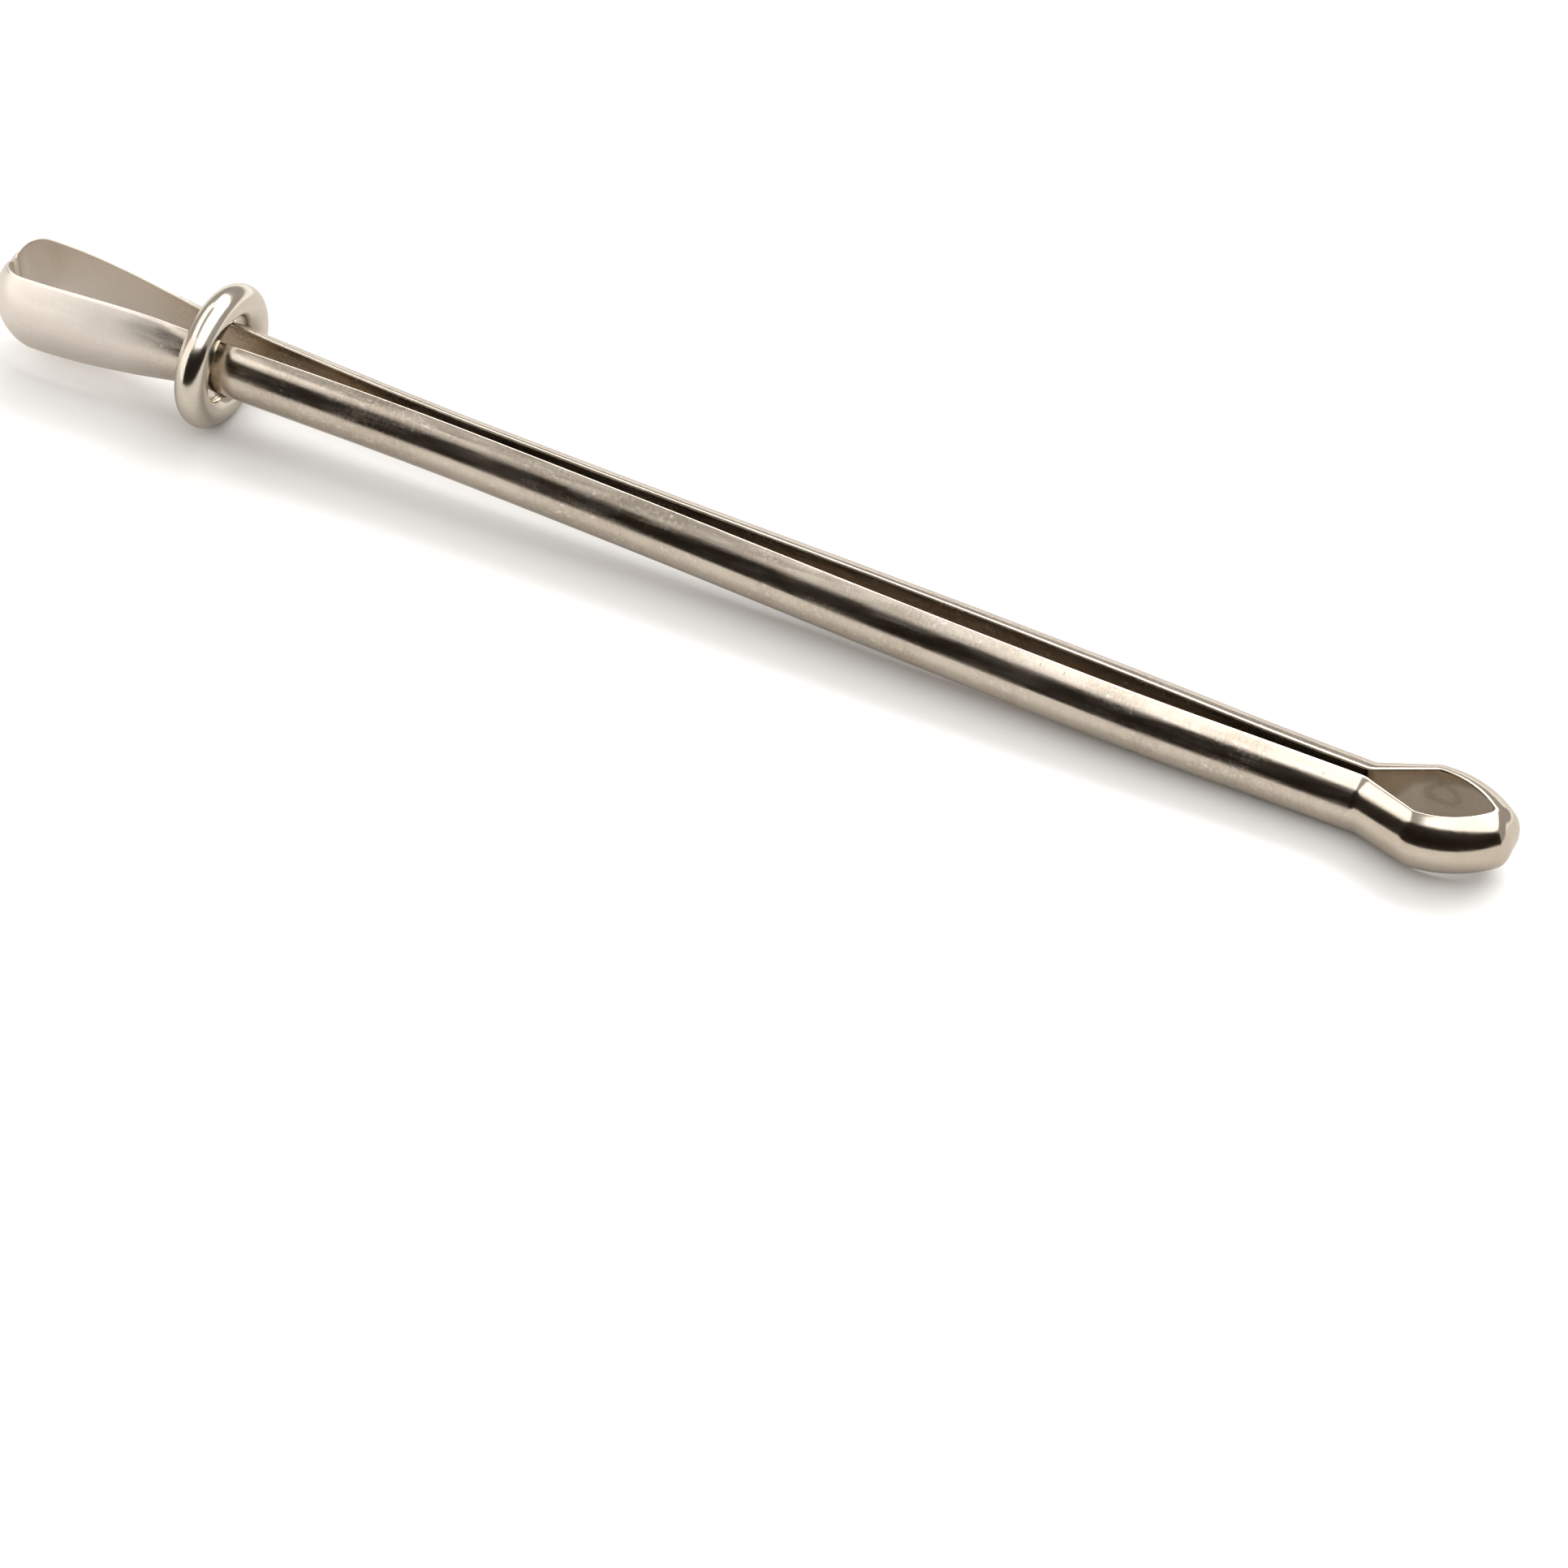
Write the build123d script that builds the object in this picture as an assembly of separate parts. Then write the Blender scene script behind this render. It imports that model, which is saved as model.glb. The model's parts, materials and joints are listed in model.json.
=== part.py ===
from build123d import *
import math
import os

# Slide-ring spring clip: one hairpin of half-round strip, folded at a looped nose, and a thick ring that
# slides along its two legs and holds the hooked jaws shut. Millimetres, +Z up, nose towards +X, and the
# front leg towards -Y. The clip is first laid out level, with the ring's centre at the origin, and then
# leant by `lean` so that it rests on the bottom of the ring and on the nose.

# strip
half_width = 1.5          # half of the strip's width (vertical)
strip_t = 1.30            # thickness at the neck, from the flat inner face to the crown of the round face
side_t, tip_t = 1.12, 0.92    # thinner where the strip is bent round the nose
land = 0.10               # square edge of the strip before the round face starts

# looped nose, as a path along the flat inner face: three arcs on each side of the tip, then a straight run
nose_x = 58.39            # inner face at the tip of the nose
tip_r, tip_turn = 0.19, 45.5
side_r, side_turn = 3.75, 45.0
shoulder_r, shoulder_turn = 0.40, 22.2
nose_pitch = 7.1          # degrees the loop is bent up from the legs
neck_r = 1.8              # bend where the loop runs into the legs
neck_half_gap = 0.17      # half of the slit between the legs at the neck

# (x, half of the slit, thickness) along the legs, from neck to hinge section
leg_rows = [
    (48.5, 0.215, 1.300),
    (45.0, 0.300, 1.290),
    (41.0, 0.355, 1.265),
    (36.0, 0.365, 1.235),
    (31.0, 0.335, 1.205),
    (26.0, 0.270, 1.180),
    (21.5, 0.210, 1.160),
]
hinge_x, hinge_half_gap, hinge_t = 16.0, 0.178, 1.140
# (x, half of the slit, half width, thickness) along the arms, through the ring
arm_rows = [
    (12.0, 0.170, 1.50, 1.130),
    (8.5, 0.215, 1.50, 1.120),
    (5.5, 0.300, 1.50, 1.105),
    (3.0, 0.405, 1.50, 1.065),
    (1.2, 0.490, 1.50, 1.010),
    (0.0, 0.550, 1.50, 0.97),
]
jaw_x, jaw_half_gap, jaw_root_h, jaw_root_t = -1.2, 0.635, 1.57, 0.93
jaw_rows = [(-2.6, 0.760, 1.76, 0.88), (-4.4, 0.955, 1.93, 0.84), (-6.3, 1.145, 2.02, 0.82), (-7.9, 1.255, 2.05, 0.80)]
hook_x, hook_y, hook_r, hook_turn = -9.0, 1.285, 1.20, 88.0
jaw_h, jaw_t = 2.05, 0.80
jaw_tip_h, jaw_tip_t = 1.55, 0.72

# the strip isn't quite straight: it rises in a gentle curve towards the nose, and the jaws droop
rise_from, rise_rate = 42.0, 0.00108
jaw_droop = 3.3           # degrees, from the ring on

# ring
ring_r = 2.54             # to the centre of its round wire
ring_wire_r = 0.71


def step(x, y, heading, radius, turn):
    """End of an arc in the plane: a positive turn is to the left."""
    side = 1 if turn > 0 else -1
    a = math.radians(heading)
    cx, cy = x - radius * math.sin(a) * side, y + radius * math.cos(a) * side
    b = math.radians(turn)
    dx, dy = x - cx, y - cy
    return (
        cx + dx * math.cos(b) - dy * math.sin(b),
        cy + dx * math.sin(b) + dy * math.cos(b),
        heading + turn,
    )


def rise(x):
    """Height of the strip's middle line over the ring's centre."""
    return rise_rate * max(0.0, x - rise_from) ** 2


def profile(x, y, heading, half, thick, pitch=0.0, z=None):
    """Half-round section standing across the path at (x, y); its flat is on the path, round side to the right of it."""
    a, p = math.radians(heading), math.radians(pitch)
    plane = Plane(
        origin=(x, y, rise(x) if z is None else z),
        x_dir=(math.sin(a) * math.cos(p), -math.cos(a), math.sin(a) * math.sin(p)),
        z_dir=(math.cos(a) * math.cos(p), math.sin(a), math.cos(a) * math.sin(p)),
    )
    low, high = (0, -half), (0, half)
    edges = [
        Line(high, low),
        Line(low, (land, -half)),
        ThreePointArc((land, -half), (thick, 0), (land, half)),
        Line((land, half), high),
    ]
    wire = Wire([e.edge() if hasattr(e, "edge") else e for e in edges])
    return plane * Face(wire)


def strip(rows):
    """Smooth strip through (x, y, heading, half, thick, pitch, z) rows; the last two may be left out."""
    return loft([profile(*row) for row in rows])


# nose loop: rear side is +Y. The path starts at the tip and runs to the rear, and is mirrored for the front.
def along(start, radius, turn, count):
    """Points of an arc that starts at (x, y, heading)."""
    return [start] + [step(*start, radius, turn * i / count) for i in range(1, count + 1)]


tip_arc = along((nose_x, 0.0, 90.0), tip_r, tip_turn, 6)
side_arc = along(tip_arc[-1], side_r, side_turn, 6)
shoulder_arc = along(side_arc[-1], shoulder_r, shoulder_turn, 3)
x, y, heading = shoulder_arc[-1]
slope = heading - 180.0
run = (y - neck_half_gap - neck_r * (1 - math.cos(math.radians(slope)))) / math.sin(math.radians(slope))
bend = (x + run * math.cos(math.radians(heading)), y + run * math.sin(math.radians(heading)), heading)
neck_arc = along(bend, neck_r, -slope, 5)
neck_x = neck_arc[-1][0]
neck_pitch = math.degrees(math.atan(2 * rise_rate * (neck_x - rise_from)))


def height(x):
    """Height and pitch of the middle line from the neck on: the pitch grows over the neck bend, then stays."""
    low, high = math.tan(math.radians(neck_pitch)), math.tan(math.radians(nose_pitch))
    reach = bend[0] - neck_x
    part = min(1.0, max(0.0, (x - neck_x) / reach))
    z = rise(neck_x) + reach * (low * part + (high - low) * part * part / 2) + high * max(0.0, x - bend[0])
    return z, math.degrees(math.atan(low + (high - low) * part))


def thickness(x, heading):
    if x >= side_arc[0][0] - 1e-9:
        part = (heading - 90.0) / tip_turn
        return tip_t + (side_t - tip_t) * part * part * (3 - 2 * part)
    if x >= shoulder_arc[0][0] - 1e-9:
        return side_t
    return side_t + (strip_t - side_t) * (shoulder_arc[0][0] - x) / (shoulder_arc[0][0] - neck_x)


def loop_rows(points):
    rows = []
    for px, py, head in points:
        z, pitch = height(px)
        rows.append((px, py, head, half_width, thickness(px, head), pitch, z))
    return rows


half = strip(loop_rows(tip_arc))
for points in (side_arc, shoulder_arc, [shoulder_arc[-1], bend], neck_arc):
    half = half + strip(loop_rows(points))
nose_loop = half + half.mirror(Plane.XZ)


rear_leg = strip(
    [(neck_x, neck_half_gap, 180, half_width, strip_t, neck_pitch)]
    + [
        (lx, g, 180, half_width, t, math.degrees(math.atan(2 * rise_rate * max(0.0, lx - rise_from))))
        for lx, g, t in leg_rows
    ]
    + [(hinge_x, hinge_half_gap, 180, half_width, hinge_t)]
)
rear_arm = strip(
    [(hinge_x, hinge_half_gap, 180, half_width, hinge_t)]
    + [(lx, g, 180, h, t) for lx, g, h, t in arm_rows]
    + [(jaw_x, jaw_half_gap, 180, jaw_root_h, jaw_root_t, jaw_droop)]
)
hook = []
turns = [0, 15, 30, 45, 60, 75, hook_turn]
for turn in turns[1:]:
    hx, hy, hh = step(hook_x, hook_y, 180.0, hook_r, turn)
    part = turn / hook_turn
    ease = part * part * part
    hook.append((hx, hy, hh, jaw_h + (jaw_tip_h - jaw_h) * ease, jaw_t + (jaw_tip_t - jaw_t) * ease))
blade = strip(
    [(jaw_x, jaw_half_gap, 180, jaw_root_h, jaw_root_t)]
    + [(lx, g, 180, h, t) for lx, g, h, t in jaw_rows]
    + [(hook_x, hook_y, 180, jaw_h, jaw_t)]
)
at_jaw = Axis((jaw_x, 0, 0), (0, 1, 0))
rear_jaw = (blade + strip([(hook_x, hook_y, 180, jaw_h, jaw_t)] + hook)).rotate(at_jaw, -jaw_droop)

ring = Torus(ring_r, ring_wire_r).rotate(Axis.Y, 90)

made = {
    "nose_loop": nose_loop,
    "rear_leg": rear_leg,
    "front_leg": rear_leg.mirror(Plane.XZ),
    "rear_arm": rear_arm,
    "front_arm": rear_arm.mirror(Plane.XZ),
    "rear_jaw": rear_jaw,
    "front_jaw": rear_jaw.mirror(Plane.XZ),
    "lock_ring": ring,
}

# The clip lies on the ring and on the underside of the strip near the neck. Lowest points of the strip there:
under = [(lx, rise(lx) - half_width) for lx in (46.0, 48.0, 50.0, 51.5)]
for lx in (neck_x, bend[0], nose_x):
    z, pitch = height(lx)
    under.append((lx + half_width * math.sin(math.radians(pitch)), z - half_width * math.cos(math.radians(pitch))))


def lean_of(px, pz):
    """Lean at which this point is as low as the ring's lowest point."""
    reach = math.hypot(px, ring_r + pz)
    return math.asin(ring_wire_r / reach) + math.atan2(ring_r + pz, px)


lean = min(lean_of(px, pz) for px, pz in under)

# lean it, then put the middle of its box on the origin and its lowest point on the floor
leant = {name: solid.rotate(Axis.Y, math.degrees(lean)) for name, solid in made.items()}
boxes = [solid.bounding_box() for solid in leant.values()]
x_low, x_high = min(b.min.X for b in boxes), max(b.max.X for b in boxes)
z_low = min(b.min.Z for b in boxes)
shift = Vector(-(x_low + x_high) / 2, 0, -z_low)

os.makedirs("parts", exist_ok=True)
for name, solid in leant.items():
    placed = solid.moved(Location(shift))
    export_step(placed, "parts/" + name + ".step")

print("lean", round(math.degrees(lean), 4), "shift", round(shift.X, 4), round(shift.Z, 4), "neck", round(neck_x, 3), round(neck_pitch, 3))
for label, (px, py) in {"ring": (0, 0), "hinge": (hinge_x, hinge_half_gap + hinge_t), "tip": (nose_x, 0)}.items():
    print(
        label,
        round(px * math.cos(lean) + shift.X, 4),
        round(py, 4),
        round(-px * math.sin(lean) + shift.Z, 4),
    )
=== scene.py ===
import json
import math

import bpy
import bmesh
import numpy as np
from mathutils import Matrix, Vector

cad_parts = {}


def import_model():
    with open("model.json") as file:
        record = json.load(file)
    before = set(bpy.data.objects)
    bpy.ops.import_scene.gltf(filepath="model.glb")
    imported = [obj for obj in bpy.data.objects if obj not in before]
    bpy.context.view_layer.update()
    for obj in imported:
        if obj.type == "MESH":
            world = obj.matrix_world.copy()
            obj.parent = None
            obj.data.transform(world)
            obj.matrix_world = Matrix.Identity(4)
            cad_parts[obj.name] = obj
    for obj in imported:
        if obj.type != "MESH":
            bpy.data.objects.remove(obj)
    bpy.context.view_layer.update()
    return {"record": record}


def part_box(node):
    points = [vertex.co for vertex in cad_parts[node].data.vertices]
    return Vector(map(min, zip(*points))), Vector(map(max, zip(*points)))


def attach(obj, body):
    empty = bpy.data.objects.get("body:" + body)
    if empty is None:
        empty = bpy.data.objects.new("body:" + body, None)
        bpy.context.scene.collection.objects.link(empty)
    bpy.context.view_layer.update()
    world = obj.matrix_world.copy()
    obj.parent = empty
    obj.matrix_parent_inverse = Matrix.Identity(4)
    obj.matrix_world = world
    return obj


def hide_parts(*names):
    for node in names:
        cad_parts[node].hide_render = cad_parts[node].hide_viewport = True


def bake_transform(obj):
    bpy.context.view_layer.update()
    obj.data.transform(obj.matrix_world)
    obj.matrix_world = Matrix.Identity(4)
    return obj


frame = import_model()

MM = 0.001

# ---------------------------------------------------------------------------------------------
# where the tool's own axes lie in the frame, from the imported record: the ring slides along the
# tool's long axis, and the ring's middle is the origin of the tool's own coordinates
# ---------------------------------------------------------------------------------------------
joints = {j["name"]: j for j in frame["record"]["behaviour"]["joints"]}
ux = Vector(joints["ring_slide"]["axis"]).normalized()       # towards the nose
uy = Vector((0, 1, 0))                                        # towards the rear leg
uz = ux.cross(uy)
ring_low, ring_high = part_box("lock_ring")
RING = (Vector(ring_low) + Vector(ring_high)) / 2


def world(p):
    """Tool millimetres to the frame's metres."""
    return RING + (ux * p[0] + uy * p[1] + uz * p[2]) * MM


# ---------------------------------------------------------------------------------------------
# camera first; its angles are those of a tool leant by LEAN, and it keeps its place beside the tool
# ---------------------------------------------------------------------------------------------
AZ, EL, ROLL, LEAN = (math.radians(v) for v in (26.807, 47.722, -0.1, 2.1932))
DIST, FPX = 225.0, 6479.678
AT = (273.32, 438.357)                                        # where the ring's middle falls, of 1932


def beside_tool(x, y, z):
    along = x * math.cos(LEAN) - z * math.sin(LEAN)
    upward = x * math.sin(LEAN) + z * math.cos(LEAN)
    return ux * along + uy * y + uz * upward


back = beside_tool(math.sin(AZ) * math.cos(EL), -math.cos(AZ) * math.cos(EL), math.sin(EL))
right0 = beside_tool(math.cos(AZ), math.sin(AZ), 0)
up0 = beside_tool(-math.sin(AZ) * math.sin(EL), math.cos(AZ) * math.sin(EL), math.cos(EL))
right = right0 * math.cos(ROLL) + up0 * math.sin(ROLL)
up = -right0 * math.sin(ROLL) + up0 * math.cos(ROLL)
u0 = (AT[0] - 966) / FPX * DIST
v0 = -(AT[1] - 966) / FPX * DIST
eye = RING + (-right * u0 - up * v0 + back * DIST) * MM
cam = bpy.data.cameras.new("camera")
cam.sensor_fit = "HORIZONTAL"
cam.sensor_width = 36.0
cam.lens = FPX / 1932 * 36.0
cam.clip_start = 0.002
cam.clip_end = 50
cam_obj = bpy.data.objects.new("camera", cam)
bpy.context.scene.collection.objects.link(cam_obj)
m = Matrix.Identity(4)
for i, axis in enumerate((right, up, back)):
    for k in range(3):
        m[k][i] = axis[k]
for k in range(3):
    m[k][3] = eye[k]
cam_obj.matrix_world = m
bpy.context.scene.camera = cam_obj

# ---------------------------------------------------------------------------------------------
# the strip's path along its flat inner face, rear side (+Y); the same numbers as the CAD
# ---------------------------------------------------------------------------------------------
HALF, LAND = 1.5, 0.10
NECK_T, SIDE_T, TIP_T0 = 1.30, 1.12, 0.92
NOSE_X = 58.39
ARCS = ((0.19, 45.5, 14), (3.75, 45.0, 18), (0.40, 22.2, 8))   # radius, turn, steps
NECK_R, NECK_GAP, NOSE_PITCH = 1.8, 0.17, 7.1
LEG = [  # x, half of the slit, half width, thickness
    (48.5, 0.215, 1.50, 1.300), (45.0, 0.300, 1.50, 1.290), (41.0, 0.355, 1.50, 1.265), (36.0, 0.365, 1.50, 1.235),
    (31.0, 0.335, 1.50, 1.205), (26.0, 0.270, 1.50, 1.180), (21.5, 0.210, 1.50, 1.160), (16.0, 0.178, 1.50, 1.140),
    (12.0, 0.170, 1.50, 1.130), (8.5, 0.215, 1.50, 1.120), (5.5, 0.300, 1.50, 1.105), (3.0, 0.405, 1.50, 1.065),
    (1.2, 0.490, 1.50, 1.010), (0.0, 0.550, 1.50, 0.970), (-1.2, 0.635, 1.57, 0.930), (-2.6, 0.760, 1.76, 0.880),
    (-4.4, 0.955, 1.93, 0.840), (-6.3, 1.145, 2.02, 0.820), (-7.9, 1.255, 2.05, 0.800), (-9.0, 1.285, 2.05, 0.800),
]
HOOK_R, HOOK_TURN, TIP_H, TIP_T = 1.20, 88.0, 1.55, 0.72
RISE_FROM, RISE_RATE, DROOP, JAW_X = 42.0, 0.00108, 3.3, -1.2


def turn_step(x, y, heading, radius, turn):
    side = 1 if turn > 0 else -1
    a = math.radians(heading)
    cx, cy = x - radius * math.sin(a) * side, y + radius * math.cos(a) * side
    b = math.radians(turn)
    dx, dy = x - cx, y - cy
    return cx + dx * math.cos(b) - dy * math.sin(b), cy + dx * math.sin(b) + dy * math.cos(b), heading + turn


def rise(x):
    return RISE_RATE * max(0.0, x - RISE_FROM) ** 2


def pchip(xs, ys, q):
    """Smooth curve through the points with no overshoot between them (xs rising)."""
    xs, ys, q = np.asarray(xs, float), np.asarray(ys, float), np.asarray(q, float)
    h = np.diff(xs)
    s = np.diff(ys) / h
    d = np.zeros(len(xs))
    for i in range(1, len(xs) - 1):
        if s[i - 1] * s[i] > 0:
            w1, w2 = 2 * h[i] + h[i - 1], h[i] + 2 * h[i - 1]
            d[i] = (w1 + w2) / (w1 / s[i - 1] + w2 / s[i])
    i = np.clip(np.searchsorted(xs, q, side="right") - 1, 0, len(h) - 1)
    t = (q - xs[i]) / h[i]
    return (
        (1 + 2 * t) * (1 - t) ** 2 * ys[i] + t * (1 - t) ** 2 * h[i] * d[i]
        + t * t * (3 - 2 * t) * ys[i + 1] + t * t * (t - 1) * h[i] * d[i + 1]
    )


# nose: stations (x, y, heading) from the tip round the rear side to the neck
def nose_stations():
    out = [(NOSE_X, 0.0, 90.0)]
    ends = []
    for radius, turn, n in ARCS:
        start = out[-1]
        out += [turn_step(*start, radius, turn * i / n) for i in range(1, n + 1)]
        ends.append(out[-1][0])
    x, y, heading = out[-1]
    slope = heading - 180.0
    run = (y - NECK_GAP - NECK_R * (1 - math.cos(math.radians(slope)))) / math.sin(math.radians(slope))
    a = math.radians(heading)
    for i in range(1, 11):
        out.append((x + run * i / 10 * math.cos(a), y + run * i / 10 * math.sin(a), heading))
    bend = out[-1]
    out += [turn_step(*bend, NECK_R, -slope * i / 16) for i in range(1, 17)]
    return out, ends, bend[0]


NOSE, (TIP_END, SIDE_END, SHOULDER_END), BEND_X = nose_stations()
NECK_X = NOSE[-1][0]
NECK_PITCH = math.atan(2 * RISE_RATE * (NECK_X - RISE_FROM))


def nose_t(x, heading):
    if x >= TIP_END - 1e-9:
        part = (heading - 90.0) / ARCS[0][1]
        return TIP_T0 + (SIDE_T - TIP_T0) * part * part * (3 - 2 * part)
    if x >= SHOULDER_END - 1e-9:
        return SIDE_T
    return SIDE_T + (NECK_T - SIDE_T) * (SHOULDER_END - x) / (SHOULDER_END - NECK_X)


def nose_height(x):
    low, high = math.tan(NECK_PITCH), math.tan(math.radians(NOSE_PITCH))
    reach = BEND_X - NECK_X
    part = min(1.0, max(0.0, (x - NECK_X) / reach))
    z = rise(NECK_X) + reach * (low * part + (high - low) * part * part / 2) + high * max(0.0, x - BEND_X)
    return z, math.atan(low + (high - low) * part)


def ring_of(x, y, heading, half, thick, side, n_arc=30, corner=0.09):
    """Cross-section points in the tool's own coordinates, before any rise: flat on the path, round side out."""
    a = math.radians(heading)
    ox, oy = math.sin(a), -math.cos(a)
    pts = []
    for i in range(9):                                        # flat inner face, with a whisker of crown
        k = -1 + 2 * i / 8
        pts.append((0.004 * (1 - k * k) * -1.0, k * (half - corner)))
    for i in range(1, 7):                                     # upper edge, rounded
        b = math.radians(180 - 90 * i / 7)
        pts.append((corner + corner * math.cos(b), half - corner + corner * math.sin(b)))
    top = max(LAND, corner)
    radius = (half * half + (thick - top) ** 2) / (2 * (thick - top))
    mid = thick - radius
    lim = math.asin(min(1.0, half / radius)) if thick - top < half else math.pi - math.asin(half / radius)
    if thick - top < radius and mid > top:
        lim = math.pi / 2
    for i in range(n_arc + 1):
        b = lim * (1 - 2 * i / n_arc)
        pts.append((mid + radius * math.cos(b), radius * math.sin(b)))
    for i in range(6, 0, -1):                                 # lower edge
        b = math.radians(180 - 90 * i / 7)
        pts.append((corner + corner * math.cos(b), -(half - corner + corner * math.sin(b))))
    return [(x + ox * d, side * (y + oy * d), z) for d, z in pts]


def nose_place(p, x):
    """A section of the loop at path point x, turned up with the loop's pitch."""
    zc, b = nose_height(x)
    dx, z = p[0] - x, p[2]
    return (x + dx * math.cos(b) - z * math.sin(b), p[1], zc + dx * math.sin(b) + z * math.cos(b))


def leg_place(p, x):
    """A leg's section at x, turned to the slope of its rise."""
    b = math.atan(2 * RISE_RATE * max(0.0, x - RISE_FROM))
    dx, z = p[0] - x, p[2]
    return (x + dx * math.cos(b) - z * math.sin(b), p[1], rise(x) + dx * math.sin(b) + z * math.cos(b))


def jaw_place(p):
    """The jaws droop from the ring on."""
    b = math.radians(DROOP)
    dx, z = p[0] - JAW_X, p[2]
    return (JAW_X + dx * math.cos(b) - z * math.sin(b), p[1], dx * math.sin(b) + z * math.cos(b))


def tube(name, rings, cap_start=False, cap_end=False, flip=False):
    """Skin over cross-sections given in the tool's millimetres."""
    n = len(rings[0])
    verts = [world(p) for ring in rings for p in ring]
    faces = []
    for i in range(len(rings) - 1):
        for k in range(n):
            a, b = i * n + k, i * n + (k + 1) % n
            c, d = (i + 1) * n + (k + 1) % n, (i + 1) * n + k
            faces.append((a, d, c, b) if flip else (a, b, c, d))
    for wanted, ring, rev in ((cap_start, rings[0], not flip), (cap_end, rings[-1], flip)):
        if wanted:                                            # own corners, so the end doesn't round off the side's shading
            loop = [len(verts) + k for k in range(n)]
            verts += [world(p) for p in ring]
            faces.append(tuple(reversed(loop)) if rev else tuple(loop))
    me = bpy.data.meshes.new(name)
    me.from_pydata(verts, [], faces)
    me.validate()
    for p in me.polygons:
        p.use_smooth = True
    ob = bpy.data.objects.new(name, me)
    bpy.context.scene.collection.objects.link(ob)
    bm = bmesh.new()
    bm.from_mesh(me)
    bmesh.ops.recalc_face_normals(bm, faces=bm.faces)
    bm.faces.ensure_lookup_table()
    ends = [(rings[0], rings[1])] * bool(cap_start) + [(rings[-1], rings[-2])] * bool(cap_end)
    for k, (ring, inner) in enumerate(ends):                  # a cap shares no corner with the side, so it is turned outward here
        face = bm.faces[len(bm.faces) - len(ends) + k]
        out = np.mean([world(p) for p in ring], axis=0) - np.mean([world(p) for p in inner], axis=0)
        face.normal_update()
        if np.dot(face.normal, out) < 0:
            face.normal_flip()
    bm.to_mesh(me)
    bm.free()
    return ob


def leg_stations():
    """From the neck to the jaw's tip: (x, y, heading, half, thick, part)."""
    rows = [(NECK_X, NECK_GAP, HALF, NECK_T)] + LEG
    rows = rows[::-1]
    xs = [r[0] for r in rows]
    gap, half, thick = ([r[k] for r in rows] for k in (1, 2, 3))
    at = np.r_[np.linspace(NECK_X, 20, 60), np.linspace(20, 2, 46)[1:], np.linspace(2, JAW_X, 14)[1:], np.linspace(JAW_X, -9.0, 34)[1:]]
    y, h, t = pchip(xs, gap, at), pchip(xs, half, at), pchip(xs, thick, at)
    out = [(float(a), float(b), 180.0, float(c), float(d), "leg" if a > JAW_X + 1e-6 else "jaw") for a, b, c, d in zip(at, y, h, t)]
    for i in range(1, 23):
        turn = HOOK_TURN * i / 22
        x, yy, heading = turn_step(-9.0, LEG[-1][1], 180.0, HOOK_R, turn)
        ease = (i / 22) ** 3
        out.append((x, yy, heading, 2.05 + (TIP_H - 2.05) * ease, 0.80 + (TIP_T - 0.80) * ease, "jaw"))
    return out


def strip_side(name, side):
    rings = []
    stations = leg_stations()
    for x, y, heading, half, thick, part in stations:
        pts = ring_of(x, y, heading, half, thick, side)
        if part == "leg":
            blend = min(1.0, max(0.0, (2.0 - x) / (2.0 - JAW_X))) ** 2
            a = [leg_place(p, x) for p in pts]
            rings.append(a if blend == 0 else [
                (p[0] - p[2] * math.sin(math.radians(DROOP)) * blend, p[1], p[2]) for p in a
            ])
        else:
            rings.append([jaw_place(p) for p in pts])
    # the tip's end face: edges rounded over
    last = stations[-1]
    base = ring_of(*last[:5], side)
    cx = sum(p[0] for p in base) / len(base)
    cy = sum(p[1] for p in base) / len(base)
    a = math.radians(last[2])
    fwd = (math.cos(a), side * math.sin(a))
    for k in (0.35, 0.7, 1.0):
        off = 0.09 * math.sin(k * math.pi / 2)
        shrink = 0.09 * (1 - math.cos(k * math.pi / 2))
        ring = []
        for p in base:
            vx, vy, vz = p[0] - cx, p[1] - cy, p[2]
            length = math.sqrt(vx * vx + vy * vy + vz * vz) or 1.0
            s = 1 - shrink / max(0.25, length)
            ring.append(jaw_place((cx + vx * s + fwd[0] * (off - 0.09), cy + vy * s + fwd[1] * (off - 0.09), vz * s)))
        if k == 0.35:
            rings[-1] = [jaw_place((p[0] - fwd[0] * 0.09, p[1] - fwd[1] * 0.09, p[2])) for p in base]
        rings.append(ring)
    return tube(name, rings, cap_start=True, cap_end=True, flip=side < 0)


def nose_piece(name):
    rings = []
    rear = [[nose_place(p, x) for p in ring_of(x, y, h, HALF, nose_t(x, h), 1)] for x, y, h in NOSE]
    front = [[nose_place(p, x) for p in ring_of(x, y, h, HALF, nose_t(x, h), -1)] for x, y, h in NOSE]
    rings = front[::-1] + rear[1:]
    return tube(name, rings, cap_start=True, cap_end=True)


def torus(name, R, r, n_major=160, n_minor=56):
    rings = []
    for i in range(n_major):
        a = 2 * math.pi * i / n_major
        ring = []
        for k in range(n_minor):
            b = 2 * math.pi * k / n_minor
            rr = R + r * math.cos(b)
            ring.append((r * math.sin(b), rr * math.cos(a), rr * math.sin(a)))
        rings.append(ring)
    rings.append(rings[0])
    ob = tube(name, rings)
    bm = bmesh.new()
    bm.from_mesh(ob.data)
    bmesh.ops.remove_doubles(bm, verts=bm.verts, dist=1e-7)
    bmesh.ops.recalc_face_normals(bm, faces=bm.faces)
    bm.to_mesh(ob.data)
    bm.free()
    return ob


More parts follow.
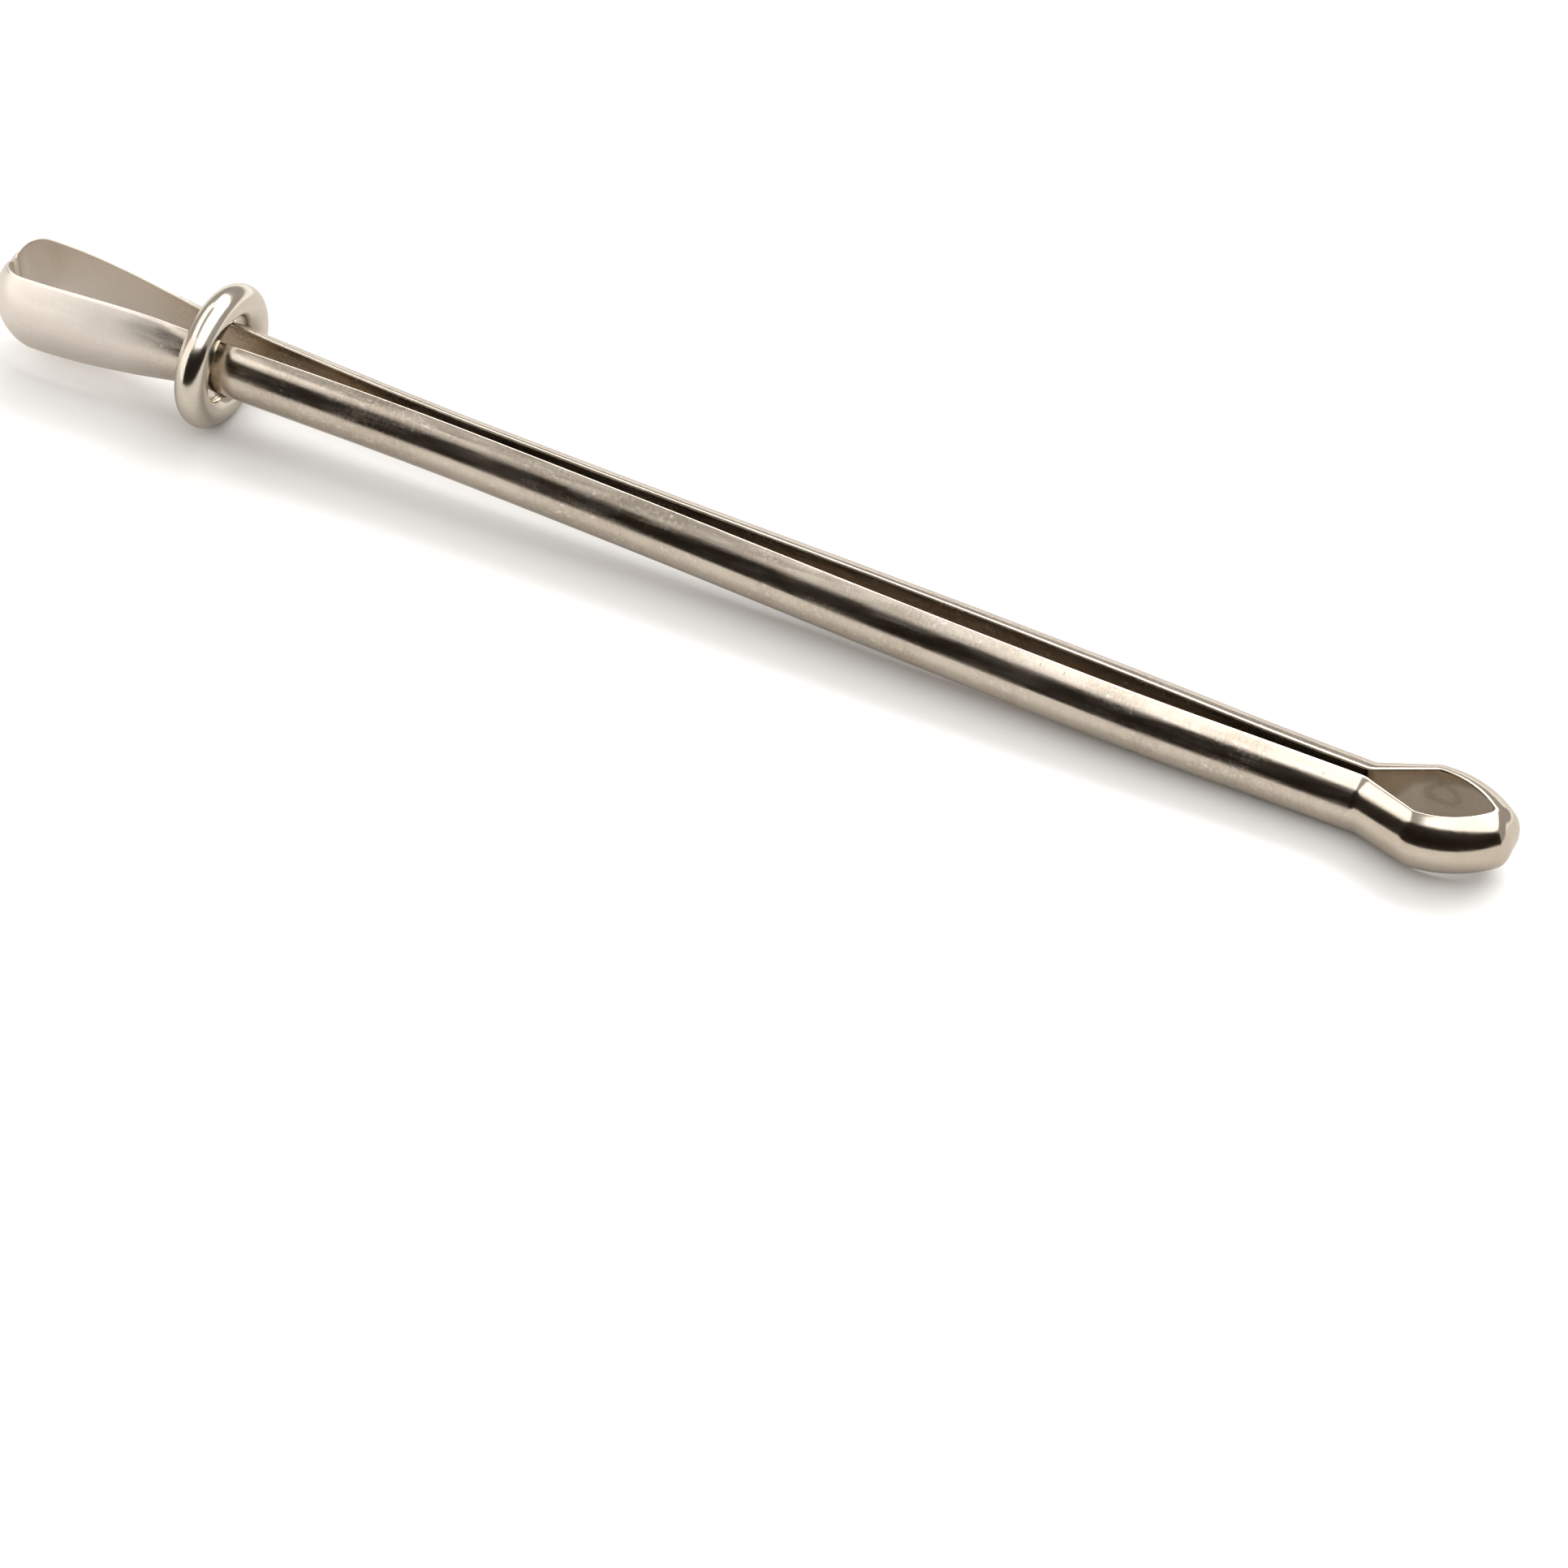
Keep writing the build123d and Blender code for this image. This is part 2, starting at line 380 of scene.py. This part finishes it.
# ---------------------------------------------------------------------------------------------
# materials
# ---------------------------------------------------------------------------------------------
def nickel(name, colour, rough, grain, scratches, bumps, mottle, dark_oval_spot=None, matt_jaws_with_painted_light=False):
    mat = bpy.data.materials.new(name)
    mat.use_nodes = True
    nt = mat.node_tree
    bsdf = nt.nodes["Principled BSDF"]
    bsdf.inputs["Metallic"].default_value = 1.0
    bsdf.inputs["IOR"].default_value = 1.9
    tex = nt.nodes.new("ShaderNodeTexCoord")
    # frame the texture along the tool's long axis
    mapping = nt.nodes.new("ShaderNodeMapping")
    mapping.inputs["Scale"].default_value = (1000, 1000, 1000)
    nt.links.new(tex.outputs["Object"], mapping.inputs["Vector"])

    def noise(scale, detail, rough_n=0.5, stretch=(1, 1, 1), dist=0.0):
        mp = nt.nodes.new("ShaderNodeMapping")
        mp.inputs["Scale"].default_value = stretch
        nt.links.new(mapping.outputs["Vector"], mp.inputs["Vector"])
        n = nt.nodes.new("ShaderNodeTexNoise")
        n.inputs["Scale"].default_value = scale
        n.inputs["Detail"].default_value = detail
        n.inputs["Roughness"].default_value = rough_n
        n.inputs["Distortion"].default_value = dist
        nt.links.new(mp.outputs["Vector"], n.inputs["Vector"])
        return n

    def ramp(node, a, b, lo, hi):
        r = nt.nodes.new("ShaderNodeMapRange")
        r.inputs["From Min"].default_value = a
        r.inputs["From Max"].default_value = b
        r.inputs["To Min"].default_value = lo
        r.inputs["To Max"].default_value = hi
        nt.links.new(node, r.inputs["Value"])
        return r.outputs["Result"]

    def math_(op, a, b):
        n = nt.nodes.new("ShaderNodeMath")
        n.operation = op
        for i, v in enumerate((a, b)):
            if isinstance(v, (int, float)):
                n.inputs[i].default_value = v
            else:
                nt.links.new(v, n.inputs[i])
        return n.outputs[0]

    cloud = noise(0.35, 3.0, 0.6)                       # slow patches of dulled plate, millimetres across
    speck = noise(6.0, 4.0, 0.7)                        # fine grain of the plate
    rub = noise(3.2, 3.0, 0.6, stretch=(0.10, 1.0, 1.0))   # rub marks along the tool
    pit = nt.nodes.new("ShaderNodeTexVoronoi")
    pit.inputs["Scale"].default_value = 0.9
    nt.links.new(mapping.outputs["Vector"], pit.inputs["Vector"])
    pits = ramp(pit.outputs["Distance"], 0.03, 0.09, 1.0, 0.0)

    patch = ramp(cloud.outputs["Fac"], 0.45, 0.62, 0.0, 1.0)
    grainy = math_("MULTIPLY", ramp(speck.outputs["Fac"], 0.42, 0.75, 0.0, 1.0), patch)

    r = math_("ADD", rough, math_("MULTIPLY", ramp(rub.outputs["Fac"], 0.4, 0.7, 0.0, 1.0), scratches))
    r = math_("ADD", r, math_("MULTIPLY", grainy, grain))
    r = math_("ADD", r, math_("MULTIPLY", pits, 0.12))
    if matt_jaws_with_painted_light:                                        # the jaws are duller than the legs
        sep = nt.nodes.new("ShaderNodeSeparateXYZ")
        nt.links.new(tex.outputs["Object"], sep.inputs[0])
        jaws = ramp(sep.outputs["X"], world((-1.0, 0, 0)).x, world((-4.0, 0, 0)).x, 0.0, 1.0)
        r = math_("ADD", r, math_("MULTIPLY", jaws, 0.22))
    nt.links.new(r, bsdf.inputs["Roughness"])

    mix = nt.nodes.new("ShaderNodeMix")
    mix.data_type = "RGBA"
    mix.inputs[6].default_value = (*colour, 1)
    mix.inputs[7].default_value = (*(c * f for c, f in zip(colour, (0.86, 0.83, 0.79))), 1)
    nt.links.new(ramp(cloud.outputs["Fac"], 0.35, 0.75, 0.0, 0.8), mix.inputs[0])
    tint = mix.outputs[2]

    def toned(socket, fac, colour2):
        n = nt.nodes.new("ShaderNodeMix")
        n.data_type = "RGBA"
        n.inputs[7].default_value = (*colour2, 1)
        nt.links.new(socket, n.inputs[6])
        nt.links.new(fac, n.inputs[0])
        return n.outputs[2]

    # mottled plate: fine cross grain, darker, and pale worn specks, both in patches
    cross = noise(5.0, 3.0, 0.65, stretch=(1.8, 0.7, 0.7))
    worn = noise(3.4, 4.0, 0.72, stretch=(0.8, 1.2, 1.2))
    wide_patch = ramp(cloud.outputs["Fac"], 0.36, 0.56, 0.25, 1.0)
    tint = toned(tint, math_("MULTIPLY", ramp(cross.outputs["Fac"], 0.42, 0.66, 0.0, mottle), wide_patch), tuple(c * 0.55 for c in colour))
    tint = toned(tint, math_("MULTIPLY", ramp(worn.outputs["Fac"], 0.57, 0.70, 0.0, 2.2 * mottle), wide_patch), (0.97, 0.93, 0.87))
    # painted light: the jaws' base colour is lightened towards pale greige, standing in for the light their insides
    # catch
    if matt_jaws_with_painted_light:
        tint = toned(tint, math_("MULTIPLY", jaws, 0.75), (0.92, 0.865, 0.80))
    if dark_oval_spot is not None:                               # a small dark oval of fine rings
        off = nt.nodes.new("ShaderNodeVectorMath")
        off.operation = "SUBTRACT"
        off.inputs[1].default_value = dark_oval_spot
        nt.links.new(tex.outputs["Object"], off.inputs[0])
        wide = nt.nodes.new("ShaderNodeVectorMath")
        wide.operation = "MULTIPLY"
        wide.inputs[1].default_value = (850.0, 900.0, 1150.0)
        nt.links.new(off.outputs[0], wide.inputs[0])
        ln = nt.nodes.new("ShaderNodeVectorMath")
        ln.operation = "LENGTH"
        nt.links.new(wide.outputs[0], ln.inputs[0])
        wave = nt.nodes.new("ShaderNodeMath")
        wave.operation = "SINE"
        nt.links.new(math_("ADD", math_("MULTIPLY", ln.outputs["Value"], 9.0), math_("MULTIPLY", speck.outputs["Fac"], 6.0)), wave.inputs[0])
        inside = ramp(ln.outputs["Value"], 0.75, 1.0, 1.0, 0.0)
        dark = nt.nodes.new("ShaderNodeMix")
        dark.data_type = "RGBA"
        dark.inputs[7].default_value = (0.16, 0.13, 0.09, 1)
        nt.links.new(tint, dark.inputs[6])
        nt.links.new(math_("MULTIPLY", inside, ramp(wave.outputs[0], -0.4, 1.0, 0.05, 0.28)), dark.inputs[0])
        tint = dark.outputs[2]
    nt.links.new(tint, bsdf.inputs["Base Color"])

    bump = nt.nodes.new("ShaderNodeBump")
    bump.inputs["Strength"].default_value = bumps
    bump.inputs["Distance"].default_value = 0.000008
    height = math_("ADD", math_("MULTIPLY", speck.outputs["Fac"], 1.0), math_("MULTIPLY", rub.outputs["Fac"], 0.8))
    height = math_("SUBTRACT", height, math_("MULTIPLY", pits, 1.5))
    nt.links.new(height, bump.inputs["Height"])
    nt.links.new(bump.outputs["Normal"], bsdf.inputs["Normal"])
    return mat


NICKEL = (0.72, 0.64, 0.545)
strip_mat = nickel("nickel_strip", NICKEL, 0.15, 0.11, 0.12, 0.22, 0.38, matt_jaws_with_painted_light=True)
spot = world(nose_place((55.85, 1.16, 0.20), 55.85))
nose_mat = nickel("nickel_nose", NICKEL, 0.13, 0.05, 0.03, 0.15, 0.10, dark_oval_spot=spot)
ring_mat = nickel("nickel_ring", (0.76, 0.70, 0.61), 0.16, 0.05, 0.02, 0.15, 0.12)

# ---------------------------------------------------------------------------------------------
# pieces
# ---------------------------------------------------------------------------------------------
nose = nose_piece("nose_loop_look")
nose.data.materials.append(nose_mat)
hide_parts("nose_loop")
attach(nose, "spring_body")

for side, word in ((1, "rear"), (-1, "front")):
    ob = strip_side(word + "_strip_look", side)
    ob.data.materials.append(strip_mat)
    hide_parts(word + "_leg", word + "_arm", word + "_jaw")
    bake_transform(ob)

ring = torus("lock_ring_look", 2.54, 0.71)
ring.data.materials.append(ring_mat)
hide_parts("lock_ring")
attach(ring, "ring_body")

# ---------------------------------------------------------------------------------------------
# studio: white floor, large soft light above and behind, a pale room, and a dark flag in front that the
# polished faces reflect
# ---------------------------------------------------------------------------------------------
def plain(name, colour, rough, spec=0.5):
    mat = bpy.data.materials.new(name)
    mat.use_nodes = True
    b = mat.node_tree.nodes["Principled BSDF"]
    b.inputs["Base Color"].default_value = (*colour, 1)
    b.inputs["Roughness"].default_value = rough
    b.inputs["Specular IOR Level"].default_value = spec
    return mat


floor_me = bpy.data.meshes.new("floor")
S = 3.0
floor_me.from_pydata([(-S, -S, 0), (S, -S, 0), (S, S, 0), (-S, S, 0)], [], [(0, 1, 2, 3)])
floor = bpy.data.objects.new("floor", floor_me)
floor.data.materials.append(plain("floor", (0.88, 0.875, 0.868), 0.45, 0.3))
bpy.context.scene.collection.objects.link(floor)

world_ = bpy.data.worlds.new("room")
bpy.context.scene.world = world_
world_.use_nodes = True
bg = world_.node_tree.nodes["Background"]
bg.inputs[0].default_value = (1.0, 0.955, 0.90, 1)
bg.inputs[1].default_value = 0.41


def area(name, at, target, sx, sy, watts, colour=(1, 1, 1)):
    li = bpy.data.lights.new(name, "AREA")
    li.shape = "RECTANGLE"
    li.size, li.size_y = sx, sy
    li.energy = watts
    li.color = colour
    ob = bpy.data.objects.new(name, li)
    bpy.context.scene.collection.objects.link(ob)
    d = Vector(at) - Vector(target)
    ob.location = at
    ob.rotation_euler = d.to_track_quat("Z", "Y").to_euler()
    return ob


# overhead softbox: its left edge ends above the jaws; a second one further to the left
area("key", (0.245, 0.06, 0.5), (0.245, 0.06, 0), 0.70, 1.08, 3.6)
area("left", (-0.50, 0.0, 0.5), (-0.50, 0.0, 0), 0.46, 0.80, 1.7)
area("rim", (0.05, 0.50, 0.62), (0, 0, 0), 0.9, 0.4, 4.2)


def unseen(ob):
    """Only polished faces see it: it is neither in the picture nor in the light."""
    ob.visible_camera = False
    ob.visible_diffuse = False
    ob.visible_shadow = False


def card(name, corners, mat):
    me = bpy.data.meshes.new(name)
    me.from_pydata(corners, [], [(0, 1, 2, 3)])
    ob = bpy.data.objects.new(name, me)
    me.materials.append(mat)
    bpy.context.scene.collection.objects.link(ob)
    unseen(ob)
    return ob


def fading(name, colour, axis, low, high, drift=0.0):
    """A card's surface that lets light through from `low` to `high` along an axis; `drift` moves both with x."""
    mat = bpy.data.materials.new(name)
    mat.use_nodes = True
    nt = mat.node_tree
    for n in list(nt.nodes):
        nt.nodes.remove(n)
    out = nt.nodes.new("ShaderNodeOutputMaterial")
    both = nt.nodes.new("ShaderNodeMixShader")
    clear = nt.nodes.new("ShaderNodeBsdfTransparent")
    matt = nt.nodes.new("ShaderNodeBsdfDiffuse")
    matt.inputs[0].default_value = (*colour, 1)
    tc = nt.nodes.new("ShaderNodeTexCoord")
    sep = nt.nodes.new("ShaderNodeSeparateXYZ")
    nt.links.new(tc.outputs["Object"], sep.inputs[0])
    value = sep.outputs[axis]
    if drift:
        # the edge comes down towards the left
        mr = nt.nodes.new("ShaderNodeMapRange")
        mr.inputs["From Min"].default_value = 0.014
        mr.inputs["From Max"].default_value = -0.021
        mr.inputs["To Min"].default_value = 1.0
        mr.inputs["To Max"].default_value = drift
        nt.links.new(sep.outputs["X"], mr.inputs["Value"])
        mul = nt.nodes.new("ShaderNodeMath")
        mul.operation = "MULTIPLY"
        nt.links.new(value, mul.inputs[0])
        nt.links.new(mr.outputs["Result"], mul.inputs[1])
        value = mul.outputs[0]
    fade = nt.nodes.new("ShaderNodeMapRange")
    fade.interpolation_type = "SMOOTHSTEP"
    fade.inputs["From Min"].default_value = low
    fade.inputs["From Max"].default_value = high
    fade.inputs["To Min"].default_value = 0.0
    fade.inputs["To Max"].default_value = 1.0
    nt.links.new(value, fade.inputs["Value"])
    nt.links.new(fade.outputs["Result"], both.inputs[0])
    nt.links.new(matt.outputs[0], both.inputs[1])
    nt.links.new(clear.outputs[0], both.inputs[2])
    nt.links.new(both.outputs[0], out.inputs[0])
    return mat


# dark flag in front, with a soft upper edge, and a grey card lying before the tool: a darker copy of the floor that
# only polished faces see, painted shade in the floor they reflect
FY = -0.020
card(
    "flag",
    [(-0.034, FY, 0), (0.09, FY, 0), (0.09, FY, 0.040), (-0.034, FY, 0.040)],
    fading("flag", (0.010, 0.007, 0.004), "Z", 0.0270, 0.0350, drift=1.48),
)
glow = bpy.data.materials.new("bounce")
glow.use_nodes = True
gb = glow.node_tree.nodes["Principled BSDF"]
gb.inputs["Base Color"].default_value = (0, 0, 0, 1)
gb.inputs["Roughness"].default_value = 1.0
gb.inputs["Specular IOR Level"].default_value = 0.0
gb.inputs["Emission Color"].default_value = (1.0, 0.97, 0.93, 1)
gb.inputs["Emission Strength"].default_value = 1.35
card("bounce", [(-0.20, -0.050, 0), (-0.042, -0.050, 0), (-0.042, -0.050, 0.09), (-0.20, -0.050, 0.09)], glow)
# painted shade: a darker copy of the floor, seen only in the polished faces' reflections
card(
    "painted_shade_floor_card",
    [(-0.09, FY, 0.00003), (0.09, FY, 0.00003), (0.09, 0.02, 0.00003), (-0.09, 0.02, 0.00003)],
    plain("painted_shade_floor_card", (0.56, 0.545, 0.525), 0.9, 0.0),
)

bpy.context.scene.view_settings.view_transform = "Standard"
bpy.context.scene.view_settings.look = "None"
bpy.context.scene.view_settings.exposure = 0.0
bpy.context.scene.view_settings.gamma = 1.0
